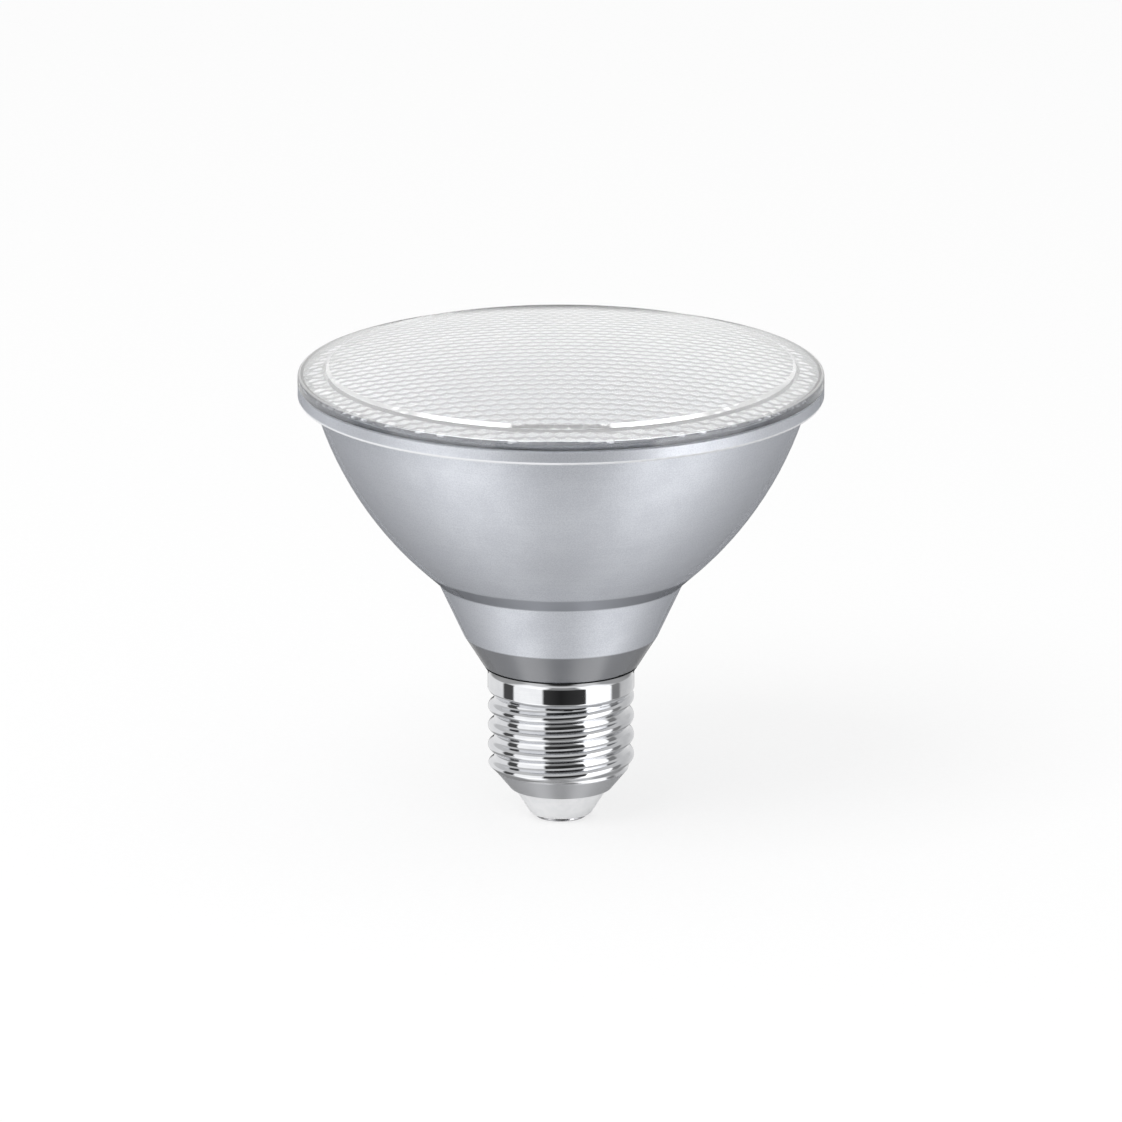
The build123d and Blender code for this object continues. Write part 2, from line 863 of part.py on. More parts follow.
def led_lead(side):
    """From the top of the driver board, through the wire hole, to the LED connector."""
    x = side * led_lead_spacing / 2
    y = driver_board_back - solder_gap - lead_radius
    level = spreader_bottom - driver_board_top_gap - 2 * lead_radius
    foot = driver_shoulder + 2 * part_spacing + chip_height
    end = -wire_hole_offset
    return lead([(x, y, foot), (x, y, level), (x, end, level + lead_radius), (x, end, led_board_top)])


pieces = {
    "centre_contact": centre_contact(),
    "cap_insulator": cap_insulator(),
    "screw_shell": screw_shell(),
    "housing": housing(),
    "front_lens": front_lens(),
    "reflector": reflector(),
    "heat_spreader": plate(
        spreader_radius, spreader_bottom, spreader_top, screw_shank_radius + solder_gap
    ),
    "led_board": plate(
        led_board_radius, spreader_top, led_board_top, screw_shank_radius + fit_clearance
    ),
    "led_packages": led_packages(),
    "board_screws": board_screws(),
    "led_connector": led_connector(),
    "driver_board": driver_board(),
    "transformer_core": transformer_core(),
    "transformer_winding": transformer_winding(),
    "input_capacitor": input_capacitor(),
    "output_capacitor": output_capacitor(),
    "film_capacitor": film_capacitor(),
    "filter_inductor": filter_inductor(),
    "bridge_rectifier": bridge_rectifier(),
    "controller_chip": controller_chip(),
    "fuse_resistor": fuse_resistor(),
    "varistor": varistor(),
    "live_lead": live_lead(),
    "neutral_lead": neutral_lead(),
    "led_lead_positive": led_lead(1),
    "led_lead_negative": led_lead(-1),
}
for name, shape in pieces.items():
    export_step(shape, f"parts/{name}.step")
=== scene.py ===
"""A silver reflector lamp with a screw cap and a clear pillow lens, upright in a plain white studio.

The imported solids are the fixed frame, in metres. This script winds the cap's pressed thread, presses the
pillows into the lens, gives every piece its finish, and sets up the floor, the light and the camera.
"""

import functools
import json
import logging
import math
from dataclasses import dataclass, field
from enum import Enum
from typing import Any, Callable, ClassVar, Sequence

import bmesh
import bpy
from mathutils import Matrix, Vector

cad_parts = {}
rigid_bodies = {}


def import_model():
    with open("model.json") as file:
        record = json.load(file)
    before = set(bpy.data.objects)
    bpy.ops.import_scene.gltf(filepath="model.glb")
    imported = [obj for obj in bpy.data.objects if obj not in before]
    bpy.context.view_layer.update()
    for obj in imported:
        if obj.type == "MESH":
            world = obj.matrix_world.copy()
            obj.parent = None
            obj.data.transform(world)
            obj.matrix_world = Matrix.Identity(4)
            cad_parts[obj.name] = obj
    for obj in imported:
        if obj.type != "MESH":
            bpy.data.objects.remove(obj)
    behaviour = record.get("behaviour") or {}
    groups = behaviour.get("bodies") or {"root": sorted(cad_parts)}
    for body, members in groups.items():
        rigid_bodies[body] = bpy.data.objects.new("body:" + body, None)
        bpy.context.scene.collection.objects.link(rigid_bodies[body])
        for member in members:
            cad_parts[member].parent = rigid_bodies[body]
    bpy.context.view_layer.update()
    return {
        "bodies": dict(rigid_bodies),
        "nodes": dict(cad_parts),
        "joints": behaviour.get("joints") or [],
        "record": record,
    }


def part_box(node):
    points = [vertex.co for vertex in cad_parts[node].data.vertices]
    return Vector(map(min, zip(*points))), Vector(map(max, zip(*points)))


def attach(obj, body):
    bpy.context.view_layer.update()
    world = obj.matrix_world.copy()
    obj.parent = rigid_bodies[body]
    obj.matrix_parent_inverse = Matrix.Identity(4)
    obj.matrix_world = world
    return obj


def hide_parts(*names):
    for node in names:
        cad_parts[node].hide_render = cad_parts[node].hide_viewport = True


MM = 0.001
BODY = "root"
SHARP_ANGLE = math.radians(28)
MERGE_GAP = 0.0005
LACQUER_INDEX = 1.5
LACQUER_ROUGHNESS = 0.03
POLISH_INDEX = 3.0

log = logging.getLogger("lamp")

Colour = tuple[float, float, float]
Ring = list[tuple[float, float, float]]
Socket = bpy.types.NodeSocket
Stops = tuple[tuple[float, float], ...]


def srgb(red: int, green: int, blue: int) -> Colour:
    """Turns a screen colour into the linear one that a shader takes.

    Args:
        red, green, blue: the colour as it looks on a screen, 0 to 255.

    Returns:
        The linear colour, 0 to 1.
    """
    shares = (red / 255, green / 255, blue / 255)
    return tuple(share / 12.92 if share <= 0.04045 else ((share + 0.055) / 1.055) ** 2.4 for share in shares)


class Tree:
    """A node tree that is put together one node at a time."""

    def __init__(self, tree: bpy.types.NodeTree) -> None:
        """Starts from an empty tree."""
        self.tree = tree
        tree.nodes.clear()

    def node(self, kind: str, inputs: dict[Any, Any] | None = None, **settings: Any) -> bpy.types.Node:
        """Adds a node, with its settings and what its sockets take.

        Args:
            kind: the node's type.
            inputs: socket names or numbers, each with a value or with the output that feeds it.
            settings: the node's own properties.

        Returns:
            The new node.
        """
        node = self.tree.nodes.new(kind)
        for name, value in settings.items():
            setattr(node, name, value)
        for name, value in (inputs or {}).items():
            if isinstance(value, Socket):
                self.tree.links.new(value, node.inputs[name])
            else:
                node.inputs[name].default_value = value
        return node

    def math(self, operation: str, *values: Any) -> Socket:
        """Adds a sum of one or more values or outputs, and returns its result."""
        node = self.node("ShaderNodeMath", dict(enumerate(values)), operation=operation)
        return node.outputs[0]

    def blend(self, share: Any, first: Any, second: Any) -> Socket:
        """Goes from one colour to another by a share.

        Args:
            share: 0 for the first colour, 1 for the second.
            first, second: colours, or the outputs that give them.

        Returns:
            The blended colour.
        """
        first, second = ((*c, 1.0) if isinstance(c, tuple) else c for c in (first, second))
        node = self.node("ShaderNodeMix", {0: share, 6: first, 7: second}, data_type="RGBA")
        return node.outputs[2]

    def mix(self, share: Any, first: Any, second: Any) -> Socket:
        """Goes from the first number to the second by a share, and returns the number."""
        return self.node("ShaderNodeMix", {0: share, 2: first, 3: second}, data_type="FLOAT").outputs[0]

    def span(self, value: Any, low: float, high: float, start: float, end: float) -> Socket:
        """Maps low to high on to start to end with soft ends, and returns the result."""
        inputs = {"Value": value, "From Min": low, "From Max": high, "To Min": start, "To Max": end}
        return self.node("ShaderNodeMapRange", inputs, interpolation_type="SMOOTHSTEP").outputs[0]


class Pattern(Enum):
    """How a surface varies from point to point."""

    GRAIN = "fine_grain"
    PEEL = "moulded_ripple"
    FLECKS = "pressed_flecks"
    WEAVE = "board_weave"
    WRAP = "wound_wrap"
    STREAKS = "turned_streaks"


class PatternShelf:
    """The shared surface patterns, each a node group that is built once."""

    def __init__(self) -> None:
        """Builds every pattern."""
        makers = {
            Pattern.GRAIN: self._grain,
            Pattern.PEEL: self._peel,
            Pattern.FLECKS: self._flecks,
            Pattern.WEAVE: self._weave,
            Pattern.WRAP: self._wrap,
            Pattern.STREAKS: self._streaks,
        }
        self.groups = {pattern: self._group(pattern, maker) for pattern, maker in makers.items()}

    def _group(self, pattern: Pattern, maker: Callable[..., tuple[Socket, Socket]]) -> bpy.types.NodeTree:
        """Makes one pattern's group, with its fineness going in and its mask and height coming out.

        Args:
            pattern: which pattern.
            maker: the method that adds the pattern's nodes.

        Returns:
            The group.
        """
        group = bpy.data.node_groups.new(pattern.value, "ShaderNodeTree")
        group.interface.new_socket("Fineness", in_out="INPUT", socket_type="NodeSocketFloat")
        for name in ("Mask", "Height"):
            group.interface.new_socket(name, in_out="OUTPUT", socket_type="NodeSocketFloat")
        tree = Tree(group)
        given = tree.node("NodeGroupInput")
        place = tree.node("ShaderNodeTexCoord").outputs["Object"]
        mask, height = maker(tree, place, given.outputs["Fineness"])
        tree.node("NodeGroupOutput", {"Mask": mask, "Height": height})
        return group

    def _grain(self, tree: Tree, place: Socket, fineness: Socket) -> tuple[Socket, Socket]:
        """Sprayed lacquer: fine even grain over a faint cloud.

        Args:
            tree: the group's tree.
            place: the point on the surface.
            fineness: how many pitches go in a metre.

        Returns:
            The pattern's mask and its height.
        """
        fine = tree.node("ShaderNodeTexNoise", {"Vector": place, "Scale": fineness, "Detail": 2.0})
        broad = tree.math("MULTIPLY", fineness, 0.04)
        cloud = tree.node("ShaderNodeTexNoise", {"Vector": place, "Scale": broad, "Detail": 1.0})
        mixed = tree.math("ADD", fine.outputs[0], tree.math("MULTIPLY", cloud.outputs[0], 0.35))
        return tree.span(mixed, 0.45, 0.9, 0.0, 1.0), fine.outputs[0]

    def _peel(self, tree: Tree, place: Socket, fineness: Socket) -> tuple[Socket, Socket]:
        """Moulded plastic: a slow ripple in its tone and its surface."""
        ripple = tree.node("ShaderNodeTexNoise", {"Vector": place, "Scale": fineness, "Detail": 3.0})
        return tree.span(ripple.outputs[0], 0.3, 0.7, 0.0, 1.0), ripple.outputs[0]

    def _flecks(self, tree: Tree, place: Socket, fineness: Socket) -> tuple[Socket, Socket]:
        """Pressed powder: small crystals, some lighter than others.

        Args:
            tree: the group's tree.
            place: the point on the surface.
            fineness: how many pitches go in a metre.

        Returns:
            The pattern's mask and its height.
        """
        cells = tree.node("ShaderNodeTexVoronoi", {"Vector": place, "Scale": fineness})
        tone = tree.node("ShaderNodeSeparateColor", {"Color": cells.outputs["Color"]})
        return tone.outputs[0], cells.outputs["Distance"]

    def _weave(self, tree: Tree, place: Socket, fineness: Socket) -> tuple[Socket, Socket]:
        """Glass cloth in a board: threads that cross at right angles.

        Args:
            tree: the group's tree.
            place: the point on the surface.
            fineness: how many pitches go in a metre.

        Returns:
            The pattern's mask and its height.
        """
        inputs = {"Vector": place, "Scale": fineness}
        waves = [
            tree.node("ShaderNodeTexWave", inputs, bands_direction=axis).outputs["Fac"]
            for axis in ("X", "Y", "Z")
        ]
        crossed = functools.reduce(functools.partial(tree.math, "ADD"), waves)
        return tree.math("DIVIDE", crossed, float(len(waves))), crossed

    def _wrap(self, tree: Tree, place: Socket, fineness: Socket) -> tuple[Socket, Socket]:
        """Wire or tape wound in level turns.

        Args:
            tree: the group's tree.
            place: the point on the surface.
            fineness: how many pitches go in a metre.

        Returns:
            The pattern's mask and its height.
        """
        inputs = {"Vector": place, "Scale": fineness, "Distortion": 0.4, "Detail": 1.0}
        turns = tree.node("ShaderNodeTexWave", inputs, bands_direction="Z")
        return turns.outputs["Fac"], turns.outputs["Fac"]

    def _streaks(self, tree: Tree, place: Socket, fineness: Socket) -> tuple[Socket, Socket]:
        """Lines left round the axis by turning or spraying, level and drawn out.

        Args:
            tree: the group's tree.
            place: the point on the surface.
            fineness: how many pitches go in a metre.

        Returns:
            The pattern's mask and its height.
        """
        axes = tree.node("ShaderNodeSeparateXYZ", {0: place})
        flat = tree.node("ShaderNodeCombineXYZ", {"X": axes.outputs["X"], "Y": axes.outputs["Y"]})
        round_it = tree.node("ShaderNodeVectorMath", {0: flat.outputs[0]}, operation="NORMALIZE")
        drawn = tree.node("ShaderNodeVectorMath", {0: round_it.outputs[0], "Scale": 2.2}, operation="SCALE")
        level = tree.node("ShaderNodeCombineXYZ", {"Z": tree.math("MULTIPLY", axes.outputs["Z"], fineness)})
        where = tree.node("ShaderNodeVectorMath", {0: drawn.outputs[0], 1: level.outputs[0]})
        inputs = {"Vector": where.outputs[0], "Scale": 1.0, "Detail": 3.0, "Roughness": 0.65}
        lines = tree.node("ShaderNodeTexNoise", inputs)
        return tree.span(lines.outputs[0], 0.32, 0.68, 0.0, 1.0), lines.outputs[0]

    def place(self, tree: Tree, pattern: Pattern, size: float) -> bpy.types.Node:
        """Puts a pattern into a material.

        Args:
            tree: the material's tree.
            pattern: which pattern.
            size: the pattern's pitch in millimetres.

        Returns:
            The group node, with its Mask and Height outputs.
        """
        node = tree.node("ShaderNodeGroup", node_tree=self.groups[pattern])
        node.inputs["Fineness"].default_value = 1 / (size * MM)
        return node


class Measure(Enum):
    """What a zone's limits are measured along."""

    HEIGHT = "height above the contact's face"
    RADIUS = "distance from the axis"


@dataclass(frozen=True)
class Zone:
    """The part of a piece between two limits, in millimetres."""

    low: float
    high: float
    softness: float
    measure: Measure = Measure.HEIGHT

    def share(self, tree: Tree) -> Socket:
        """Adds the zone's mask to a material.

        Args:
            tree: the material's tree.

        Returns:
            The mask: 1 inside the limits, 0 outside.
        """
        place = tree.node("ShaderNodeTexCoord").outputs["Object"]
        axes = tree.node("ShaderNodeSeparateXYZ", {0: place}).outputs
        where = axes["Z"]
        if self.measure is Measure.RADIUS:
            squares = (tree.math("MULTIPLY", axes[name], axes[name]) for name in ("X", "Y"))
            where = tree.math("SQRT", tree.math("ADD", *squares))
        half = self.softness / 2
        entered = tree.span(where, (self.low - half) * MM, (self.low + half) * MM, 0.0, 1.0)
        left = tree.span(where, (self.high - half) * MM, (self.high + half) * MM, 1.0, 0.0)
        return tree.math("MULTIPLY", entered, left)


@dataclass(frozen=True)
class Band:
    """The different look that a piece has in a zone: a real change of finish, or painted shade or a painted
    highlight.
    """

    zone: Zone
    colour: Colour
    roughness: float
    metallic: float = 0.0


@dataclass(frozen=True)
class Finish:
    """A piece's finish: two tones and a gloss that follow a pattern. Sizes are in millimetres."""

    slot: str
    light: Colour
    dark: Colour
    roughness: float
    spread: float = 0.05
    metallic: float = 0.0
    pattern: Pattern = Pattern.PEEL
    size: float = 1.5
    depth: float = 0.01
    streaks: float = 0.0
    streak_size: float = 0.6
    coat: float = 0.0
    clear: float = 0.0
    index: float = 1.5
    edge_tint: float = 1.0
    bands: tuple[Band, ...] = ()
    polished: tuple[Zone, ...] = ()
    polish_roughness: float = 0.0

    def material(self, shelf: PatternShelf) -> bpy.types.Material:
        """Builds the finish.

        Args:
            shelf: the shared patterns.

        Returns:
            The material, named after its slot.
        """
        material = bpy.data.materials.new(self.slot)
        material.use_nodes = True
        tree = Tree(material.node_tree)
        main = shelf.place(tree, self.pattern, self.size)
        mask = self._mask(tree, shelf, main.outputs["Mask"])
        colour, roughness, metallic = self._surface(tree, mask)
        coat, coat_index, coat_roughness = self._coat(tree)
        bump = tree.node("ShaderNodeBump", {"Height": main.outputs["Height"], "Distance": self.depth * MM})
        shader = tree.node(
            "ShaderNodeBsdfPrincipled",
            {
                "Base Color": colour,
                "Roughness": roughness,
                "Normal": bump.outputs[0],
                "Metallic": metallic,
                "IOR": self.index,
                "Specular Tint": (self.edge_tint, self.edge_tint, self.edge_tint, 1.0),
                "Coat Weight": coat,
                "Coat IOR": coat_index,
                "Coat Roughness": coat_roughness,
                "Transmission Weight": self.clear,
            },
        )
        tree.node("ShaderNodeOutputMaterial", {"Surface": shader.outputs[0]})
        return material

    def _mask(self, tree: Tree, shelf: PatternShelf, mask: Socket) -> Socket:
        """Draws turned streaks over the pattern, where the finish has them.

        Args:
            tree: the material's tree.
            shelf: the shared patterns.
            mask: the pattern's own mask.

        Returns:
            The mask that the two tones follow.
        """
        if not self.streaks:
            return mask
        lines = shelf.place(tree, Pattern.STREAKS, self.streak_size)
        kept = tree.math("MULTIPLY", mask, 1 - self.streaks)
        return tree.math("ADD", kept, tree.math("MULTIPLY", lines.outputs["Mask"], self.streaks))

    def _surface(self, tree: Tree, mask: Socket) -> tuple[Any, Any, Any]:
        """Lays the bands over the two tones. What is the same all over stays a plain number.

        Args:
            tree: the material's tree.
            mask: the mask that the two tones follow.

        Returns:
            The colour, the roughness and how metallic it is.
        """
        colour = tree.blend(mask, self.dark, self.light)
        roughness, metallic = self.roughness, self.metallic
        if self.spread:
            low, high = max(self.roughness - self.spread, 0.0), self.roughness + self.spread
            roughness = tree.span(mask, 0.0, 1.0, high, low)
        for band in self.bands:
            share = band.zone.share(tree)
            colour = tree.blend(share, colour, band.colour)
            if band.roughness != roughness:
                roughness = tree.mix(share, roughness, band.roughness)
            if band.metallic != metallic:
                metallic = tree.mix(share, metallic, band.metallic)
        return colour, roughness, metallic

    def _coat(self, tree: Tree) -> tuple[Any, float, float]:
        """A thin clear coat all over, or a strong polish in the polished zones.

        Args:
            tree: the material's tree.

        Returns:
            The coat's weight, its index and its roughness.
        """
        if not self.polished:
            return self.coat, LACQUER_INDEX, LACQUER_ROUGHNESS
        shares = [zone.share(tree) for zone in self.polished]
        weight = functools.reduce(functools.partial(tree.math, "ADD"), shares)
        return weight, POLISH_INDEX, self.polish_roughness


GREY_WHITE = srgb(236, 237, 238)

FINISHES: tuple[Finish, ...] = (
    Finish(
        "silver_lacquer",
        srgb(218, 221, 227),
        srgb(202, 205, 212),
        0.42,
        metallic=0.65,
        pattern=Pattern.GRAIN,
        size=0.22,
        depth=0.01,
        streaks=0.15,
        streak_size=0.5,
        edge_tint=0.0,
        bands=(
            # painted shade: the neck, below 34.2 mm, is darkened to stand in for the dark reflection it shows
            Band(Zone(0.0, 34.2, 0.4), srgb(102, 105, 112), 0.3, 0.3),
            # painted shade: a darker strip at the waist, under the bowl's foot, where shade falls
            Band(Zone(44.45, 47.0, 0.5), srgb(190, 193, 200), 0.35, 0.8),
            # painted highlight: a light line along the collar's foot
            Band(Zone(78.35, 78.95, 0.15), srgb(228, 229, 232), 0.35),
            # painted shade: the ledge under the lens is dark, for the shadow in the gap between lens and
            # collar
            Band(Zone(81.05, 90.0, 0.1), srgb(96, 98, 103), 0.5),
        ),
        polished=(Zone(0.0, 34.2, 0.4),),
        polish_roughness=0.2,
    ),
    Finish(
        "clear_lens",
        (1.0, 1.0, 1.0),
        (0.985, 0.99, 0.995),
        0.0,
        0.0,
        size=6.0,
        depth=0.002,
        clear=0.78,
        index=1.58,
        # painted shade: the lens's rim beyond 47.2 mm is tinted grey to darken its edge
        bands=(Band(Zone(47.2, 60.0, 0.3, Measure.RADIUS), srgb(146, 149, 155), 0.0),),
        polished=(Zone(41.88, 42.42, 0.02, Measure.RADIUS), Zone(46.98, 47.36, 0.05, Measure.RADIUS)),
    ),
    Finish(
        "bright_cap",
        srgb(226, 227, 229),
        srgb(216, 217, 220),
        0.05,
        0.02,
        metallic=1.0,
        size=2.5,
        depth=0.004,
        streaks=0.3,
        streak_size=0.25,
        bands=(Band(Zone(0.0, 9.2, 0.5), srgb(205, 206, 209), 0.34, 0.75),),
    ),
    Finish("white_insulator", srgb(246, 246, 247), srgb(240, 241, 242), 0.45, size=1.2, depth=0.006),
    Finish(
        "plated_contact",
        srgb(198, 198, 200),
        srgb(160, 160, 164),
        0.3,
        0.1,
        1.0,
        Pattern.GRAIN,
        0.4,
        0.01,
    ),
    Finish(
        "satin_white",
        srgb(250, 250, 251),
        srgb(247, 248, 249),
        0.3,
        0.04,
        size=3.0,
        depth=0.006,
        streaks=0.3,
        streak_size=0.8,
        # painted shade: the white reflector turns grey low in its cup, darker towards its throat
        bands=(Band(Zone(0.0, 65.0, 18.0), srgb(164, 167, 173), 0.3),),
    ),
    Finish(
        "bare_aluminium",
        srgb(205, 207, 210),
        srgb(180, 183, 187),
        0.36,
        0.08,
        1.0,
        Pattern.GRAIN,
        0.3,
        0.01,
        0.4,
    ),
    Finish(
        "white_mask",
        srgb(244, 244, 242),
        srgb(234, 234, 232),
        0.34,
        pattern=Pattern.WEAVE,
        size=0.5,
        depth=0.004,
        coat=0.2,
    ),
    Finish(
        "led_yellow",
        srgb(248, 226, 130),
        srgb(240, 208, 96),
        0.18,
        pattern=Pattern.GRAIN,
        size=0.15,
        depth=0.004,
        coat=0.5,
        bands=(Band(Zone(0.0, 50.65, 0.1), GREY_WHITE, 0.4),),
    ),
    Finish(
        "steel_screw",
        srgb(190, 192, 195),
        srgb(150, 152, 156),
        0.28,
        0.08,
        1.0,
        Pattern.GRAIN,
        0.3,
        0.008,
        streaks=0.3,
        streak_size=0.2,
    ),
    Finish("white_nylon", srgb(238, 238, 234), srgb(226, 226, 221), 0.4, 0.06, size=0.8, depth=0.012),
    Finish(
        "green_board",
        srgb(52, 122, 74),
        srgb(36, 98, 58),
        0.35,
        0.06,
        pattern=Pattern.WEAVE,
        size=0.6,
        depth=0.006,
        coat=0.3,
    ),
    Finish("ferrite", srgb(74, 74, 78), srgb(48, 48, 52), 0.55, 0.1, 0.0, Pattern.FLECKS, 0.25, 0.02),
    Finish(
        "amber_tape",
        srgb(236, 186, 62),
        srgb(205, 148, 40),
        0.25,
        0.06,
        pattern=Pattern.WRAP,
        size=0.9,
        depth=0.05,
        coat=0.4,
    ),
    Finish("black_sleeve", srgb(44, 44, 48), srgb(26, 26, 30), 0.3, 0.06, size=0.8, depth=0.01, coat=0.2),
    Finish("yellow_case", srgb(232, 196, 52), srgb(214, 174, 40), 0.36, 0.05, size=0.9, depth=0.01, coat=0.2),
    Finish("black_package", srgb(44, 45, 47), srgb(28, 29, 31), 0.5, 0.08, 0.0, Pattern.FLECKS, 0.15, 0.006),
    Finish(
        "grey_resistor",
        srgb(150, 152, 150),
        srgb(122, 124, 122),
        0.55,
        0.08,
        pattern=Pattern.FLECKS,
        size=0.3,
        depth=0.015,
    ),
    Finish("blue_disc", srgb(42, 84, 168), srgb(30, 64, 140), 0.3, 0.06, size=0.7, depth=0.02, coat=0.4),
    Finish("brown_lead", srgb(122, 76, 46), srgb(98, 58, 34), 0.4, 0.05, size=0.5, depth=0.006),
    Finish("blue_lead", srgb(46, 92, 178), srgb(32, 72, 150), 0.4, 0.05, size=0.5, depth=0.006),
    Finish("red_lead", srgb(190, 36, 36), srgb(160, 26, 26), 0.4, 0.05, size=0.5, depth=0.006),
    Finish("black_lead", srgb(40, 40, 44), srgb(26, 26, 30), 0.4, 0.05, size=0.5, depth=0.006),
)


def new_object(
    name: str, mesh: bpy.types.Mesh, material: bpy.types.Material | None = None
) -> bpy.types.Object:
    """Puts a mesh in the scene at the origin, unturned, with its material.

    Args:
        name: the piece's name.
        mesh: its mesh, already in place.
        material: its finish, where it gets one here.

    Returns:
        The new piece.
    """
    made = bpy.data.objects.new(name, mesh)
    bpy.context.scene.collection.objects.link(made)
    if material:
        mesh.materials.append(material)
    return made


def skin_rings(name: str, rings: Sequence[Ring]) -> bpy.types.Mesh:
    """Joins closed rings of points into a mesh whose last ring meets its first.

    Args:
        name: the mesh's name.
        rings: rings of points in metres, all with as many points.

    Returns:
        The closed mesh, smooth but for its sharp corners.
    """
    count, around = len(rings), len(rings[0])
    points = [point for ring in rings for point in ring]
    faces = []
    for ring in range(count):
        upper = (ring + 1) % count
        for step in range(around):
            after = (step + 1) % around
            corners = ((ring, step), (ring, after), (upper, after), (upper, step))
            faces.append([row * around + place for row, place in corners])
    mesh = bpy.data.meshes.new(name)
    mesh.from_pydata(points, [], faces)
    close_and_smooth(mesh)
    return mesh


def close_and_smooth(mesh: bpy.types.Mesh) -> None:
    """Merges a mesh's doubles, turns its faces outwards and keeps only its sharp corners sharp.

    Args:
        mesh: the closed mesh, which is changed in place.
    """
    work = bmesh.new()
    work.from_mesh(mesh)
    bmesh.ops.remove_doubles(work, verts=work.verts, dist=MERGE_GAP * MM)
    bmesh.ops.recalc_face_normals(work, faces=work.faces)
    for face in work.faces:
        face.smooth = True
    for edge in work.edges:
        edge.smooth = len(edge.link_faces) == 2 and edge.calc_face_angle() < SHARP_ANGLE
    work.to_mesh(mesh)
    work.free()


def turned_ring(radius: float, height: float, around: int) -> Ring:
    """A level ring of points about the axis, from millimetres to metres."""
    angles = (math.tau * step / around for step in range(around))
    return [(radius * math.cos(a) * MM, radius * math.sin(a) * MM, height * MM) for a in angles]


def soft_max(first: float, second: float, softness: float) -> float:
    """The larger of two lengths, with a rounded change from one to the other."""
    near = max(softness - abs(first - second), 0.0) / softness
    return max(first, second) + near * near * softness / 4


